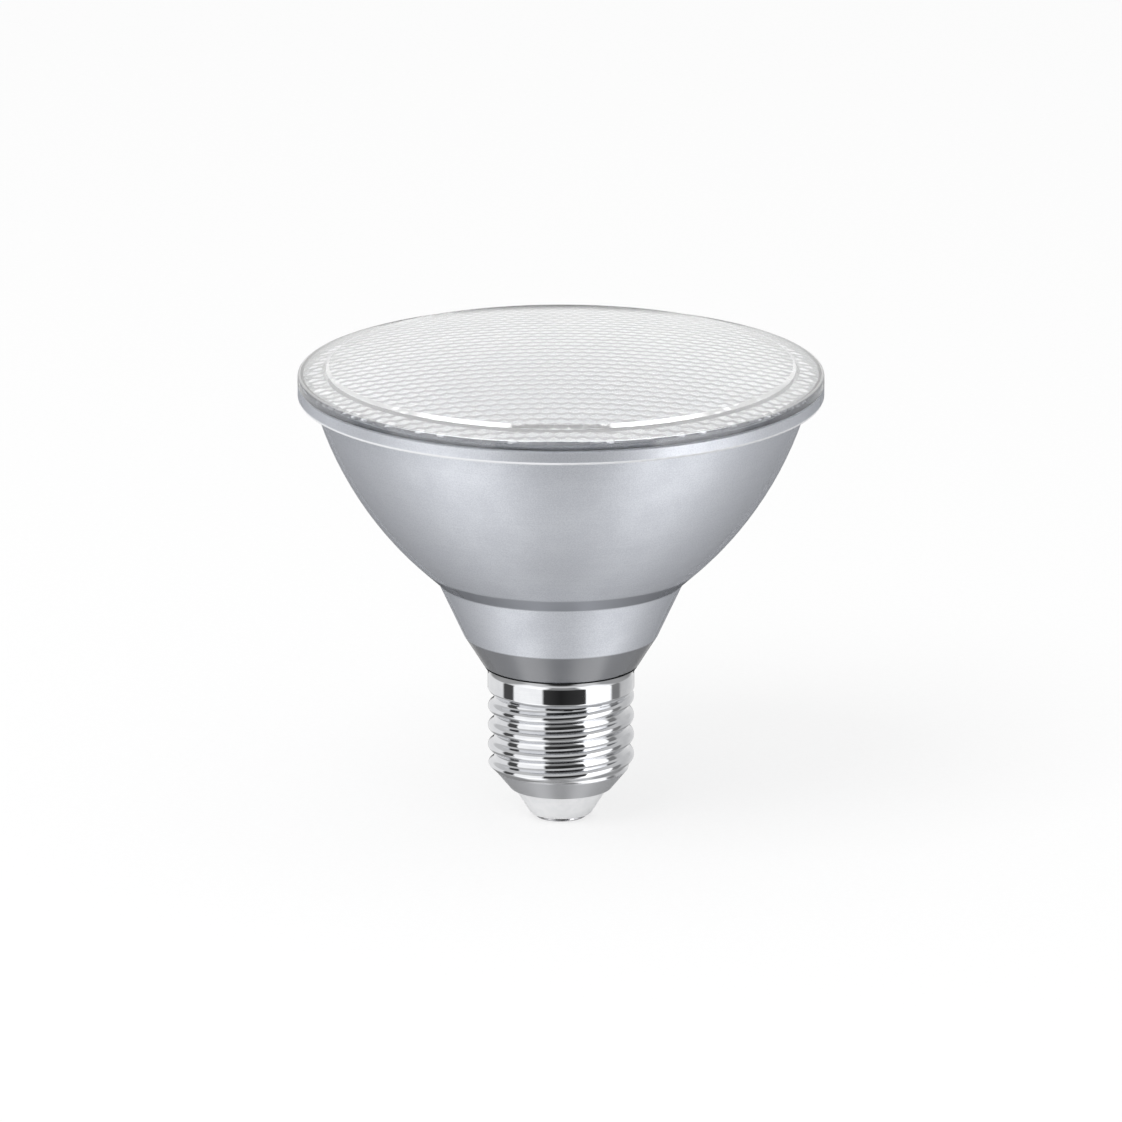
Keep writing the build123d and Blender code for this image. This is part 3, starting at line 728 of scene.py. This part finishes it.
@dataclass
class ScrewShell:
    """The pressed cap: lip, cone, rounded thread, plain skirt and flared rim. Sizes in millimetres."""

    sheet: float = 0.35
    mouth_radius: float = 8.7
    lip_radius: float = 9.25
    cone_height: float = 3.4
    crest_radius: float = 13.2
    root_radius: float = 12.05
    thread_pitch: float = 25.4 / 7
    thread_rounding: float = 1.025
    thread_length: float = 15.2
    thread_start: float = math.radians(100)
    lead_in: float = 0.9
    run_out: float = 1.3
    skirt_radius: float = 13.25
    skirt_height: float = 2.9
    flare_radius: float = 13.9
    flare_curve: float = 1.6
    press_softness: float = 0.3
    around: int = 168
    row_height: float = 0.125
    bottom: float = field(init=False)
    top: float = field(init=False)
    thread_bottom: float = field(init=False)
    skirt_bottom: float = field(init=False)
    flare_bottom: float = field(init=False)

    def build(self, materials: dict[str, bpy.types.Material]) -> bpy.types.Object:
        """Builds the shell where its solid stands.

        Args:
            materials: the finishes by slot.

        Returns:
            The finished piece.
        """
        low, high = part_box("screw_shell")
        self.bottom, self.top = low.z / MM, high.z / MM
        self.thread_bottom = self.bottom + self.cone_height
        self.skirt_bottom = self.thread_bottom + self.thread_length
        self.flare_bottom = self.skirt_bottom + self.skirt_height
        mesh = skin_rings("screw_shell_pressed", [*self._outside(), *self._inside()])
        shell = new_object("screw_shell_pressed", mesh, materials["bright_cap"])
        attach(shell, BODY)
        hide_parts("screw_shell")
        return shell

    def _thread(self, turn: float) -> float:
        """The rounded thread, on two tangent arcs.

        Args:
            turn: share of a turn from the crest.

        Returns:
            The thread's radius.
        """
        depth = self.crest_radius - self.root_radius
        flank = math.acos(1 - depth / (2 * self.thread_rounding))
        half_width = self.thread_rounding * math.sin(flank)
        along = 4 * half_width * min(turn, 1 - turn)
        if along <= half_width:
            return self.crest_radius - self.thread_rounding + math.sqrt(self.thread_rounding**2 - along**2)
        along = 2 * half_width - along
        return self.root_radius + self.thread_rounding - math.sqrt(self.thread_rounding**2 - along**2)

    def _plain(self, height: float) -> float:
        """The shell without its thread: a cone, a tube that widens to the skirt, and a flare.

        Args:
            height: the height above the contact's face.

        Returns:
            The outside radius.
        """
        if height < self.thread_bottom:
            share = (height - self.bottom) / self.cone_height
            return self.lip_radius + share * (self.root_radius - self.lip_radius)
        if height < self.skirt_bottom:
            share = max(0.0, 1 - (self.skirt_bottom - height) / self.run_out)
            return self.root_radius + share * (self.skirt_radius - self.root_radius)
        flare = max(0.0, (height - self.flare_bottom) / (self.top - self.flare_bottom))
        return self.skirt_radius + flare**self.flare_curve * (self.flare_radius - self.skirt_radius)

    def _radius(self, angle: float, height: float) -> float:
        """The shell with its thread, which rises out of the tube with rounded ends.

        Args:
            angle: the angle about the axis, in radians.
            height: the height above the contact's face.

        Returns:
            The outside radius.
        """
        plain = self._plain(height)
        if not self.thread_bottom < height < self.skirt_bottom:
            return plain
        crest = self.thread_start + math.tau * (height - self.thread_bottom) / self.thread_pitch
        thread = self._thread((angle - crest) / math.tau % 1)
        lead_in = self.root_radius + (height - self.thread_bottom) / self.lead_in
        return soft_max(plain, -soft_max(-thread, -lead_in, self.press_softness), self.press_softness)

    def _outside(self) -> list[Ring]:
        """The outside, from the lip up to the rim.

        Returns:
            Rings of points in metres.
        """
        rows = round((self.top - self.bottom) / self.row_height)
        angles = [math.tau * step / self.around for step in range(self.around)]
        rings = []
        for row in range(rows + 1):
            height = self.bottom + (self.top - self.bottom) * row / rows
            radii = [(angle, self._radius(angle, height)) for angle in angles]
            rings.append([(r * math.cos(a) * MM, r * math.sin(a) * MM, height * MM) for a, r in radii])
        return rings

    def _inside(self) -> list[Ring]:
        """The inside, a sheet's thickness in, from the rim down to the mouth.

        Returns:
            Rings of points in metres.
        """
        bore = self.root_radius - self.sheet
        skirt = self.skirt_radius - self.sheet
        outline = (
            (self.flare_radius - self.sheet, self.top),
            (skirt, self.flare_bottom),
            (skirt, self.skirt_bottom + skirt - bore),
            (bore, self.skirt_bottom),
            (bore, self.thread_bottom),
            (self.lip_radius - self.sheet, self.bottom + self.sheet),
            (self.mouth_radius, self.bottom + self.sheet),
            (self.mouth_radius, self.bottom),
        )
        return [turned_ring(radius, height, self.around) for radius, height in outline]


@dataclass
class FrontLens:
    """The clear lens: a smooth dome outside, close-packed pillows and a rib inside. Sizes in millimetres."""

    wall: float = 1.45
    edge_height: float = 1.65
    edge_rounding: float = 0.6
    step_radius: float = 41.9
    step_width: float = 0.5
    step_height: float = 0.55
    rib_inner: float = 41.73
    rib_wall: float = 1.2
    collar_bore: float = 45.15
    land_inner: float = 46.3
    pillow_pitch: float = 2.55
    pillow_depth: float = 0.3
    around: int = 256
    dome_rings: int = 40
    rounding_steps: int = 6
    top: float = field(init=False)
    seat: float = field(init=False)
    rib_foot: float = field(init=False)
    radius: float = field(init=False)
    reach: float = field(init=False)

    def build(self, materials: dict[str, bpy.types.Material]) -> bpy.types.Object:
        """Builds the lens where its solid stands, and presses the pillows into it.

        Args:
            materials: the finishes by slot.

        Returns:
            The finished piece.
        """
        low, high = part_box("front_lens")
        self.rib_foot, self.top = low.z / MM, high.z / MM
        self.radius = high.x / MM
        self.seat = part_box("housing")[1].z / MM
        rise = self.top - self.seat - self.edge_height - self.step_height
        self.reach = (self.radius**2 + rise**2) / (2 * rise)
        lens = new_object("front_lens_pillowed", self._blank())
        lens.data = self._pressed(lens, materials["clear_lens"])
        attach(lens, BODY)
        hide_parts("front_lens")
        return lens

    def dome(self, radius: float) -> float:
        """Height of the outside at a radius: a dome that steps down near its edge."""
        share = min(max((radius - self.step_radius) / self.step_width, 0.0), 1.0)
        return self.top - self.reach + math.sqrt(self.reach**2 - radius**2) - share * self.step_height

    def _blank(self) -> bpy.types.Mesh:
        """The lens before its pillows: a thick disc under the dome, with a rounded edge on the collar.

        Returns:
            The closed mesh.
        """
        middle = self.radius - self.edge_rounding
        start = self.dome(middle) - self.edge_rounding
        radii = [middle * step / self.dome_rings for step in range(1, self.dome_rings + 1)]
        radii += [self.step_radius, self.step_radius + self.step_width]
        outline = [(radius, self.dome(radius)) for radius in sorted(radii)]
        lean = math.asin(middle / self.reach)
        for step in range(1, self.rounding_steps + 1):
            angle = (math.pi / 2 - lean) * (1 - step / self.rounding_steps)
            out, up = self.edge_rounding * math.cos(angle), self.edge_rounding * math.sin(angle)
            outline.append((middle + out, start + up))
        body = (self.collar_bore + self.rib_inner + self.rib_wall) / 2
        outline += [(self.radius, self.seat), (body, self.seat), (body, self.rib_foot)]
        rings = [turned_ring(radius, height, self.around) for radius, height in outline]
        return self._capped("front_lens_blank", rings)

    def _capped(self, name: str, rings: Sequence[Ring]) -> bpy.types.Mesh:
        """Closes rings from the dome to the foot, with a fan at the top and a flat face below.

        Args:
            name: the mesh's name.
            rings: rings of points in metres, from the top down.

        Returns:
            The closed mesh.
        """
        work = bmesh.new()
        rows = [[work.verts.new(point) for point in ring] for ring in rings]
        top = work.verts.new((0.0, 0.0, self.top * MM))
        for step in range(self.around):
            after = (step + 1) % self.around
            work.faces.new((top, rows[0][step], rows[0][after]))
            for upper, lower in zip(rows, rows[1:]):
                work.faces.new((upper[step], lower[step], lower[after], upper[after]))
        work.faces.new(list(reversed(rows[-1])))
        bmesh.ops.recalc_face_normals(work, faces=work.faces)
        mesh = bpy.data.meshes.new(name)
        work.to_mesh(mesh)
        work.free()
        return mesh

    def _pressed(self, lens: bpy.types.Object, material: bpy.types.Material) -> bpy.types.Mesh:
        """Runs the pillow tree on the blank.

        Args:
            lens: the blank, which keeps no modifier.
            material: the lens's finish.

        Returns:
            The pressed lens as a plain mesh.
        """
        press = PillowPress()
        modifier = lens.modifiers.new("pillows", "NODES")
        modifier.node_group = press.group
        values = {
            "Pitch": self.pillow_pitch * MM,
            "Depth": self.pillow_depth * MM,
            "Dome Reach": self.reach * MM,
            "Crown": (self.top - self.wall) * MM,
            "Rib Inner": self.rib_inner * MM,
            "Rib Outer": (self.rib_inner + self.rib_wall) * MM,
            "Land": self.land_inner * MM,
            "Material": material,
        }
        for name, value in values.items():
            modifier[press.sockets[name]] = value
        shown = lens.evaluated_get(bpy.context.evaluated_depsgraph_get())
        mesh = bpy.data.meshes.new_from_object(shown)
        lens.modifiers.remove(modifier)
        return mesh


class PillowPress:
    """The tree of nodes that cuts close-packed pillows into the underside of a lens."""

    AROUND = 256
    TOOL_REACH = 0.05
    TOOL_DEPTH = 0.02
    HALF_ROWS = 24
    CREASE_ANGLE = math.radians(24)
    TILE_GAP = 0.02 * MM
    BLOCK_GAP = 0.001 * MM

    def __init__(self) -> None:
        """Builds the tree, and keeps its inputs' identifiers by name."""
        self.group = bpy.data.node_groups.new("pillow_press", "GeometryNodeTree")
        face = self.group.interface
        face.new_socket("Blank", in_out="INPUT", socket_type="NodeSocketGeometry")
        for name in ("Pitch", "Depth", "Dome Reach", "Crown", "Rib Inner", "Rib Outer", "Land"):
            face.new_socket(name, in_out="INPUT", socket_type="NodeSocketFloat")
        face.new_socket("Material", in_out="INPUT", socket_type="NodeSocketMaterial")
        face.new_socket("Lens", in_out="OUTPUT", socket_type="NodeSocketGeometry")
        inputs = [item for item in face.items_tree if item.in_out == "INPUT"]
        self.sockets = {item.name: item.identifier for item in inputs}
        self.tree = Tree(self.group)
        self.given = self.tree.node("NodeGroupInput").outputs
        self._assemble()

    def _assemble(self) -> None:
        """Trims the tool to the rib, cuts it out of the blank and dresses the result."""
        tree, given = self.tree, self.given
        tool = self._tool()
        rib = self._cut(self._drum(given["Rib Outer"]), self._drum(given["Rib Inner"]))
        limits = self._cut(self._drum(given["Land"]), rib)
        trimmed = self._boolean("INTERSECT", {"Mesh 2": tool}, limits)
        lens = self._cut(given["Blank"], trimmed)
        smooth = tree.node("GeometryNodeSetShadeSmooth", {"Geometry": lens}, domain="FACE")
        angle = tree.node("GeometryNodeInputMeshEdgeAngle").outputs["Unsigned Angle"]
        sharp = tree.math("GREATER_THAN", angle, self.CREASE_ANGLE)
        creased = tree.node(
            "GeometryNodeSetShadeSmooth",
            {"Geometry": smooth.outputs[0], "Selection": sharp, "Shade Smooth": False},
            domain="EDGE",
        )
        real = tree.node("GeometryNodeRealizeInstances", {"Geometry": creased.outputs[0]})
        inputs = {"Geometry": real.outputs[0], "Material": given["Material"]}
        dressed = tree.node("GeometryNodeSetMaterial", inputs)
        tree.node("NodeGroupOutput", {"Lens": dressed.outputs[0]})

    def _boolean(self, operation: str, inputs: dict[str, Any], *more: Any) -> Socket:
        """Adds a cut or an overlap of solids.

        Args:
            operation: the kind of cut.
            inputs: the solids by socket.
            more: further solids for the second socket.

        Returns:
            The resulting solid.
        """
        node = self.tree.node("GeometryNodeMeshBoolean", inputs, operation=operation, solver="MANIFOLD")
        for extra in more:
            self.tree.tree.links.new(extra, node.inputs["Mesh 2"])
        return node.outputs["Mesh"]

    def _cut(self, body: Any, tool: Any) -> Socket:
        """Takes one solid out of another."""
        return self._boolean("DIFFERENCE", {"Mesh 1": body, "Mesh 2": tool})

    def _drum(self, radius: Any) -> Socket:
        """A tall round solid on the axis."""
        inputs = {"Vertices": self.AROUND, "Radius": radius, "Depth": 1.0}
        return self.tree.node("GeometryNodeMeshCylinder", inputs).outputs["Mesh"]

    def _tile(self) -> Socket:
        """One six-sided pillow, hollow side up, with its corners at height nought.

        Returns:
            The pillow's mesh.
        """
        tree, given = self.tree, self.given
        corner = tree.math("DIVIDE", given["Pitch"], math.sqrt(3))
        inputs = {"Vertices": 6, "Radius": corner}
        disc = tree.node("GeometryNodeMeshCircle", inputs, fill_type="TRIANGLE_FAN")
        inputs = {"Geometry": disc.outputs[0], "Rotation": (0, 0, math.pi / 6)}
        turned = tree.node("GeometryNodeTransform", inputs)
        fine = tree.node("GeometryNodeSubdivideMesh", {"Mesh": turned.outputs[0], "Level": 1})
        place = tree.node("GeometryNodeInputPosition").outputs[0]
        away = tree.node("ShaderNodeVectorMath", {0: place}, operation="LENGTH").outputs["Value"]
        share = tree.math("POWER", tree.math("DIVIDE", away, corner), 2.0)
        sink = tree.math("MULTIPLY", tree.math("SUBTRACT", share, 1.0), given["Depth"])
        offset = tree.node("ShaderNodeCombineXYZ", {"Z": sink}).outputs[0]
        inputs = {"Geometry": fine.outputs[0], "Offset": offset}
        return tree.node("GeometryNodeSetPosition", inputs).outputs[0]

    def _middles(self) -> Socket:
        """The pillows' middles: level rows along X, every other row moved by half a pitch.

        Returns:
            Points that reach past the lens's edge.
        """
        tree, given = self.tree, self.given
        row = tree.math("MULTIPLY", given["Pitch"], math.sqrt(3) / 2)
        wide = tree.math("MULTIPLY", given["Pitch"], 2.0 * self.HALF_ROWS)
        deep = tree.math("MULTIPLY", row, 2.0 * self.HALF_ROWS)
        count = 2 * self.HALF_ROWS + 1
        inputs = {"Size X": wide, "Size Y": deep, "Vertices X": count, "Vertices Y": count}
        grid = tree.node("GeometryNodeMeshGrid", inputs).outputs["Mesh"]
        place = tree.node("GeometryNodeInputPosition").outputs[0]
        level = tree.node("ShaderNodeSeparateXYZ", {0: place}).outputs["Y"]
        number = tree.math("ROUND", tree.math("DIVIDE", level, row))
        odd = tree.math("ABSOLUTE", tree.math("MODULO", number, 2.0))
        shift = tree.math("MULTIPLY", odd, tree.math("MULTIPLY", given["Pitch"], 0.5))
        offset = tree.node("ShaderNodeCombineXYZ", {"X": shift}).outputs[0]
        moved = tree.node("GeometryNodeSetPosition", {"Geometry": grid, "Offset": offset}).outputs[0]
        after = tree.node("GeometryNodeInputPosition").outputs[0]
        away = tree.node("ShaderNodeVectorMath", {0: after}, operation="LENGTH").outputs["Value"]
        far = tree.math("GREATER_THAN", away, self.TOOL_REACH)
        return tree.node("GeometryNodeDeleteGeometry", {"Geometry": moved, "Selection": far}).outputs[0]

    def _tool(self) -> Socket:
        """The press tool: a block whose top is the pillows' shape, bent to the dome.

        Returns:
            The closed block.
        """
        tree, given = self.tree, self.given
        inputs = {"Points": self._middles(), "Instance": self._tile()}
        tiles = tree.node("GeometryNodeInstanceOnPoints", inputs).outputs[0]
        real = tree.node("GeometryNodeRealizeInstances", {"Geometry": tiles}).outputs[0]
        inputs = {"Geometry": real, "Distance": self.TILE_GAP}
        merged = tree.node("GeometryNodeMergeByDistance", inputs).outputs[0]
        place = tree.node("GeometryNodeInputPosition").outputs[0]
        axes = tree.node("ShaderNodeSeparateXYZ", {0: place}).outputs
        across = tree.math("ADD", tree.math("POWER", axes["X"], 2.0), tree.math("POWER", axes["Y"], 2.0))
        square = tree.math("SUBTRACT", tree.math("POWER", given["Dome Reach"], 2.0), across)
        drop = tree.math("SUBTRACT", tree.math("SQRT", square), given["Dome Reach"])
        lift = tree.math("ADD", given["Crown"], drop)
        offset = tree.node("ShaderNodeCombineXYZ", {"Z": lift}).outputs[0]
        sheet = tree.node("GeometryNodeSetPosition", {"Geometry": merged, "Offset": offset}).outputs[0]
        down = tree.node("ShaderNodeCombineXYZ", {"Z": -1.0}).outputs[0]
        inputs = {"Mesh": sheet, "Offset": down, "Offset Scale": self.TOOL_DEPTH, "Individual": False}
        sides = tree.node("GeometryNodeExtrudeMesh", inputs).outputs["Mesh"]
        lower = tree.node("GeometryNodeFlipFaces", {"Mesh": sides}).outputs[0]
        block = tree.node("GeometryNodeJoinGeometry", {"Geometry": sheet})
        tree.tree.links.new(lower, block.inputs["Geometry"])
        inputs = {"Geometry": block.outputs[0], "Distance": self.BLOCK_GAP}
        return tree.node("GeometryNodeMergeByDistance", inputs).outputs[0]


@dataclass
class Wardrobe:
    """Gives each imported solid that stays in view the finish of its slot."""

    frame: dict[str, Any]
    materials: dict[str, bpy.types.Material] = field(init=False)

    def __post_init__(self) -> None:
        """Builds every finish once."""
        shelf = PatternShelf()
        self.materials = {finish.slot: finish.material(shelf) for finish in FINISHES}

    def dress(self) -> None:
        """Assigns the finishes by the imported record's own list of pieces."""
        slots = {row["node"]: row["material_slot"] for row in self.frame["record"]["subparts"]}
        for name, node in self.frame["nodes"].items():
            material = self.materials[slots[name]]
            if node.material_slots:
                node.material_slots[0].material = material
            else:
                node.data.materials.append(material)
            log.info("%s: %s", name, slots[name])


@dataclass
class Studio:
    """A white floor, soft light all round and a long-lens camera. Lengths in metres, angles in degrees."""

    floor_side: float = 6.0
    floor_glow: float = 0.7
    paper_fineness: float = 900.0
    paper_tones: tuple[Colour, Colour] = (srgb(240, 240, 240), srgb(248, 248, 248))
    fill: float = 0.85
    overhead: float = 2.6
    overhead_edge: tuple[float, float] = (22.0, 34.0)
    ceiling: float = 0.65
    ceiling_edge: tuple[float, float] = (14.0, 22.0)
    table_edge: tuple[float, float] = (-20.0, -30.0)
    near_table: float = 0.75
    near_table_edge: tuple[float, float] = (-58.0, -68.0)
    underneath: float = 0.05
    underneath_edge: tuple[float, float] = (-74.0, -84.0)
    backdrop: float = 0.95
    backdrop_edge: tuple[float, float] = (-6.0, 0.0)
    lamp_edge: tuple[float, float] = (40.0, 48.0)
    key_power: float = 9.0
    key_size: float = 0.9
    key_place: tuple[float, float, float] = (-0.55, -0.75, 1.25)
    elevation: float = 15.4
    distance: float = 5.0
    frame_width: float = 0.2027
    sensor: float = 36.0
    aim_height: float = 0.0477

    SIDES: ClassVar[Stops] = (
        (-180, 0.1),
        (-173, 0.1),
        (-168, 0.9),
        (-106, 0.95),
        (-101, 0.08),
        (-82, 0.08),
        (-79, 1.2),
        (-31, 1.2),
        (-27, 0.05),
        (0, 0.02),
        (39, 0.05),
        (43, 2.8),
        (62, 2.0),
        (85, 1.4),
        (89, 0.25),
        (104, 0.25),
        (110, 0.6),
        (168, 0.85),
        (173, 0.1),
        (180, 0.1),
    )
    PANELS: ClassVar[Stops] = (
        (-180, 0.9),
        (-106, 0.95),
        (-101, 0.1),
        (-82, 0.1),
        (-79, 6.0),
        (-31, 6.0),
        (-27, 0.05),
        (39, 0.05),
        (43, 6.0),
        (85, 6.0),
        (89, 0.3),
        (104, 0.3),
        (110, 0.9),
        (180, 0.9),
    )
    LAMPS: ClassVar[Stops] = (
        (-180, 0.95),
        (-138, 0.95),
        (-135, 0.1),
        (-108, 0.1),
        (-105, 4.0),
        (-38, 4.0),
        (-34, 0.05),
        (34, 0.05),
        (38, 4.0),
        (105, 4.0),
        (108, 0.1),
        (135, 0.1),
        (138, 0.95),
        (180, 0.95),
    )
    TABLE: ClassVar[Stops] = (
        (-180, 0.3),
        (-156, 0.3),
        (-136, 0.4),
        (-105, 0.4),
        (-82, 1.3),
        (-34, 1.5),
        (-20, 0.3),
        (30, 0.3),
        (42, 1.6),
        (85, 1.4),
        (105, 0.4),
        (136, 0.4),
        (156, 0.3),
        (180, 0.3),
    )

    def build(self) -> None:
        """Sets up the floor, the light and the camera."""
        self._floor()
        self._world()
        self._key()
        self._camera()

    def _floor(self) -> None:
        """A plain pale floor that keeps the lamp's shadow."""
        half = self.floor_side / 2
        corners = [(-half, -half, 0), (half, -half, 0), (half, half, 0), (-half, half, 0)]
        mesh = bpy.data.meshes.new("floor")
        mesh.from_pydata(corners, [], [(0, 1, 2, 3)])
        material = bpy.data.materials.new("floor_paper")
        material.use_nodes = True
        tree = Tree(material.node_tree)
        place = tree.node("ShaderNodeTexCoord").outputs["Object"]
        inputs = {"Vector": place, "Scale": self.paper_fineness, "Detail": 2.0}
        fibres = tree.node("ShaderNodeTexNoise", inputs)
        colour = tree.blend(fibres.outputs[0], *self.paper_tones)
        paper = tree.node("ShaderNodeBsdfDiffuse", {"Color": colour})
        glow = tree.node("ShaderNodeEmission", {"Color": (1, 1, 1, 1), "Strength": 1.0})
        lit = tree.node("ShaderNodeMixShader", {0: self.floor_glow, 1: paper.outputs[0], 2: glow.outputs[0]})
        seen = tree.node("ShaderNodeLightPath").outputs["Is Camera Ray"]
        mixed = tree.node("ShaderNodeMixShader", {0: seen, 1: paper.outputs[0], 2: lit.outputs[0]})
        tree.node("ShaderNodeOutputMaterial", {"Surface": mixed.outputs[0]})
        floor = new_object("floor", mesh, material)
        floor.visible_glossy = False

    def _world(self) -> None:
        """White to the camera, a plain fill for soft light, and a lit studio in gloss and glass."""
        world = bpy.data.worlds.new("studio")
        bpy.context.scene.world = world
        world.use_nodes = True
        tree = Tree(world.node_tree)
        towards = tree.node("ShaderNodeTexCoord").outputs["Generated"]
        axes = tree.node("ShaderNodeSeparateXYZ", {0: towards}).outputs
        height = tree.math("MULTIPLY", tree.math("ARCSINE", axes["Z"]), 180 / math.pi)
        share = self._share(tree, axes)
        path = tree.node("ShaderNodeLightPath").outputs
        room = self._room(tree, share, height, path["Is Singular Ray"])
        light = tree.blend(path["Is Glossy Ray"], (self.fill,) * 3, room)
        light = tree.blend(path["Is Transmission Ray"], light, self._seen_through(tree, share, height))
        light = tree.blend(path["Is Camera Ray"], light, (1.0, 1.0, 1.0))
        shader = tree.node("ShaderNodeBackground", {"Color": light, "Strength": 1.0})
        tree.node("ShaderNodeOutputWorld", {"Surface": shader.outputs[0]})

    def _seen_through(self, tree: Tree, share: Socket, height: Socket) -> Socket:
        """What the clear lens shows: white, with panels and the dark between them low down.

        Args:
            tree: the world's tree.
            share: share of a turn, half of one at the camera's side.
            height: the angle above the floor.

        Returns:
            The light there.
        """
        columns = self._columns(tree, share, self.PANELS)
        level = tree.math("ABSOLUTE", height)
        return tree.blend(tree.span(level, *self.overhead_edge, 0.0, 1.0), columns, (self.overhead,) * 3)

    def _share(self, tree: Tree, axes: bpy.types.NodeOutputs) -> Socket:
        """The bearing as a share of a turn, half of one at the camera's side."""
        bearing = tree.math("ARCTAN2", axes["X"], tree.math("MULTIPLY", axes["Y"], -1.0))
        return tree.math("ADD", tree.math("DIVIDE", bearing, math.tau), 0.5)

    def _room(self, tree: Tree, share: Socket, height: Socket, mirrored: Socket) -> Socket:
        """The studio round the lamp: two softboxes at the camera's sides, dark between, white behind.

        Args:
            tree: the world's tree.
            share: share of a turn, half of one at the camera's side.
            height: the angle above the floor.
            mirrored: 1 where a perfectly smooth surface, as the lens's, shows the studio.

        Returns:
            The light there.
        """
        light = self._columns(tree, share, self.SIDES)
        levels = (
            (self.table_edge, self._columns(tree, share, self.TABLE)),
            (self.ceiling_edge, (self.ceiling,) * 3),
            (self.near_table_edge, (self.near_table,) * 3),
            (self.underneath_edge, (self.underneath,) * 3),
        )
        for edge, level in levels:
            light = tree.blend(tree.span(height, *edge, 0.0, 1.0), light, level)
        raised = tree.span(height, *self.lamp_edge, 0.0, 1.0)
        lamps = tree.blend(raised, (self.backdrop,) * 3, self._columns(tree, share, self.LAMPS))
        above = tree.math("MULTIPLY", mirrored, tree.span(height, *self.backdrop_edge, 0.0, 1.0))
        return tree.blend(above, light, lamps)

    def _columns(self, tree: Tree, share: Socket, stops: Stops) -> Socket:
        """Upright bands of light all round.

        Args:
            tree: the world's tree.
            share: share of a turn, half of one at the camera's side.
            stops: bearings from the camera, to the right, each with the light there.

        Returns:
            The light at the bearing.
        """
        ramp = tree.node("ShaderNodeValToRGB", {0: share})
        elements = ramp.color_ramp.elements
        while len(elements) < len(stops):
            elements.new(0.5)
        for element, (degrees, level) in zip(elements, stops):
            element.position = degrees / 360 + 0.5
            element.color = (level, level, level, 1.0)
        return ramp.outputs[0]

    def _key(self) -> None:
        """A large soft lamp from the front left, which shapes what isn't mirror bright."""
        lamp = bpy.data.lights.new("key", "AREA")
        lamp.energy = self.key_power
        lamp.size = self.key_size
        key = bpy.data.objects.new("key", lamp)
        key.location = self.key_place
        aim = Vector((0.0, 0.0, self.aim_height)) - Vector(self.key_place)
        key.rotation_euler = aim.to_track_quat("-Z", "Y").to_euler()
        key.visible_camera = False
        key.visible_glossy = False
        bpy.context.scene.collection.objects.link(key)

    def _camera(self) -> None:
        """A long lens, a little above the lamp, that looks along +Y."""
        data = bpy.data.cameras.new("camera")
        data.sensor_width = self.sensor
        data.lens = self.sensor * self.distance / self.frame_width
        camera = bpy.data.objects.new("camera", data)
        tilt = math.radians(self.elevation)
        back = Vector((0.0, -math.cos(tilt), math.sin(tilt)))
        camera.location = Vector((0.0, 0.0, self.aim_height)) + back * self.distance
        camera.rotation_euler = (-back).to_track_quat("-Z", "Y").to_euler()
        bpy.context.scene.collection.objects.link(camera)
        bpy.context.scene.camera = camera


def main() -> None:
    """Loads the solids, dresses them, builds the finer pieces and sets up the studio."""
    logging.basicConfig(level=logging.INFO, format="%(message)s")
    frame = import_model()
    wardrobe = Wardrobe(frame)
    wardrobe.dress()
    for maker in (ScrewShell(), FrontLens()):
        piece = maker.build(wardrobe.materials)
        log.info("%s: %d faces", piece.name, len(piece.data.polygons))
    Studio().build()
    bpy.context.scene.view_settings.view_transform = "Standard"
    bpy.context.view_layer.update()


if __name__ == "__main__":
    main()
